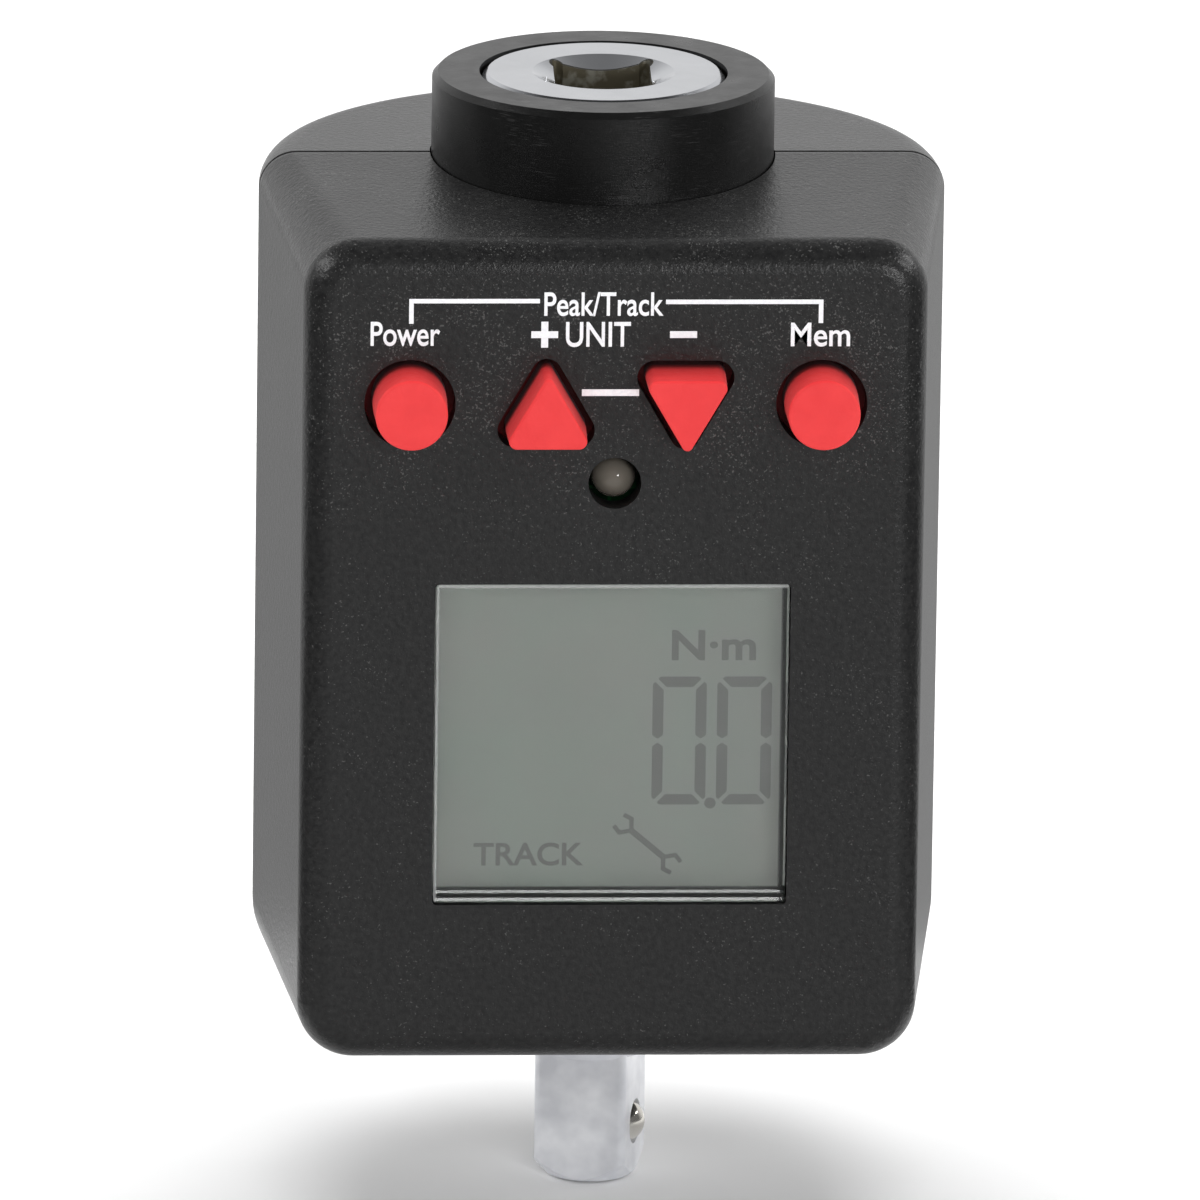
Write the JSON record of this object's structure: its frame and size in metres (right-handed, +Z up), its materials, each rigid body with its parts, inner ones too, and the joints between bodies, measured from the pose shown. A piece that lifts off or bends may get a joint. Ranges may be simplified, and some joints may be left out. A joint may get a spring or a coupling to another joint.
{
  "type": "digital torque adapter",
  "caption": "Digital torque adapter: square socket on top, square drive with detent ball below, round-backed plastic case with display, red keys, lamp and sliding battery door.",
  "frame": {"origin": "on the shaft axis, in the mouth of the square socket", "axes": "+Z up the shaft out of the socket, -Y out of the display, +X to the right seen from the display"},
  "size_m": [0.0456, 0.0458, 0.0762],
  "materials": {
    "case_plastic": "fine spark-eroded texture, black",
    "collar_plastic": "satin, turned, black",
    "shaft_steel": "satin chrome plate, bare steel inside the socket",
    "ball_steel": "polished",
    "spring_steel": "bright wire",
    "ring_steel": "phosphated, dark grey",
    "pin_steel": "ground",
    "bush_plastic": "smooth bearing plastic",
    "seal_rubber": "black rubber",
    "key_rubber": "matt red silicone",
    "pill_carbon": "conductive rubber",
    "lamp_resin": "smoky clear resin",
    "pin_tinned": "tinned",
    "window_acrylic": "clear, polished",
    "display_glass": "grey-green liquid crystal glass",
    "reflector_film": "diffuse reflecting film",
    "gasket_foam": "closed-cell foam",
    "frame_plastic": "moulded, black",
    "strip_rubber": "layered contact rubber",
    "board_laminate": "green solder mask",
    "chip_resin": "black moulding resin",
    "capacitor_can": "bright can",
    "foil": "copper foil on amber film",
    "screw_steel": "black zinc",
    "tray_plastic": "moulded, black",
    "cell_wrap": "plain printed sleeve",
    "contact_nickel": "nickel-plated strip",
    "lead_sheath": "insulated wire"
  },
  "bodies": {
    "case": {"front_shell": "case_plastic", "rear_shell": "case_plastic", "collar": "collar_plastic", "torque_shaft": "shaft_steel", "detent_spring": "spring_steel", "battery_springs": "spring_steel", "retaining_ring": "ring_steel", "locating_pin": "pin_steel", "lower_bush": "bush_plastic", "collar_seal": "seal_rubber", "shaft_seal": "seal_rubber", "keypad_mat": "key_rubber", "indicator_led": "lamp_resin", "led_pins": "pin_tinned", "display_window": "window_acrylic", "display_panel": "display_glass", "display_reflector": "reflector_film", "window_gasket": "gasket_foam", "display_frame": "frame_plastic", "contact_strips": "strip_rubber", "main_board": "board_laminate", "board_chips": "chip_resin", "buzzer": "chip_resin", "board_capacitors": "capacitor_can", "timing_crystal": "capacitor_can", "strain_gauges": "foil", "gauge_flex": "foil", "case_screws": "screw_steel", "board_screws": "screw_steel", "battery_tray": "tray_plastic", "left_cell": "cell_wrap", "right_cell": "cell_wrap", "battery_plates": "contact_nickel", "battery_leads": "lead_sheath"},
    "power_key": {"power_button": "key_rubber", "power_pill": "pill_carbon"},
    "up_key": {"up_button": "key_rubber", "up_pill": "pill_carbon"},
    "down_key": {"down_button": "key_rubber", "down_pill": "pill_carbon"},
    "memory_key": {"memory_button": "key_rubber", "memory_pill": "pill_carbon"},
    "ball": {"detent_ball": "ball_steel"},
    "door": {"battery_door": "case_plastic"}
  },
  "joints": [
    {"name": "power_press", "type": "slide", "parent": "case", "child": "power_key", "axis": [0, 1, 0], "range_m": [0, 0.001], "stiffness_N_per_m": 800, "springref_m": -0.0005},
    {"name": "up_press", "type": "slide", "parent": "case", "child": "up_key", "axis": [0, 1, 0], "range_m": [0, 0.001], "stiffness_N_per_m": 800, "springref_m": -0.0005},
    {"name": "down_press", "type": "slide", "parent": "case", "child": "down_key", "axis": [0, 1, 0], "range_m": [0, 0.001], "stiffness_N_per_m": 800, "springref_m": -0.0005},
    {"name": "memory_press", "type": "slide", "parent": "case", "child": "memory_key", "axis": [0, 1, 0], "range_m": [0, 0.001], "stiffness_N_per_m": 800, "springref_m": -0.0005},
    {"name": "ball_press", "type": "slide", "parent": "case", "child": "ball", "axis": [-0.9583, 0.2857, 0], "range_m": [0, 0.00065], "stiffness_N_per_m": 1500, "springref_m": -0.0004, "deforming": ["detent_spring"]},
    {"name": "door_slide", "type": "slide", "parent": "case", "child": "door", "axis": [0, 0, -1], "range_m": [0, 0.05]}
  ]
}
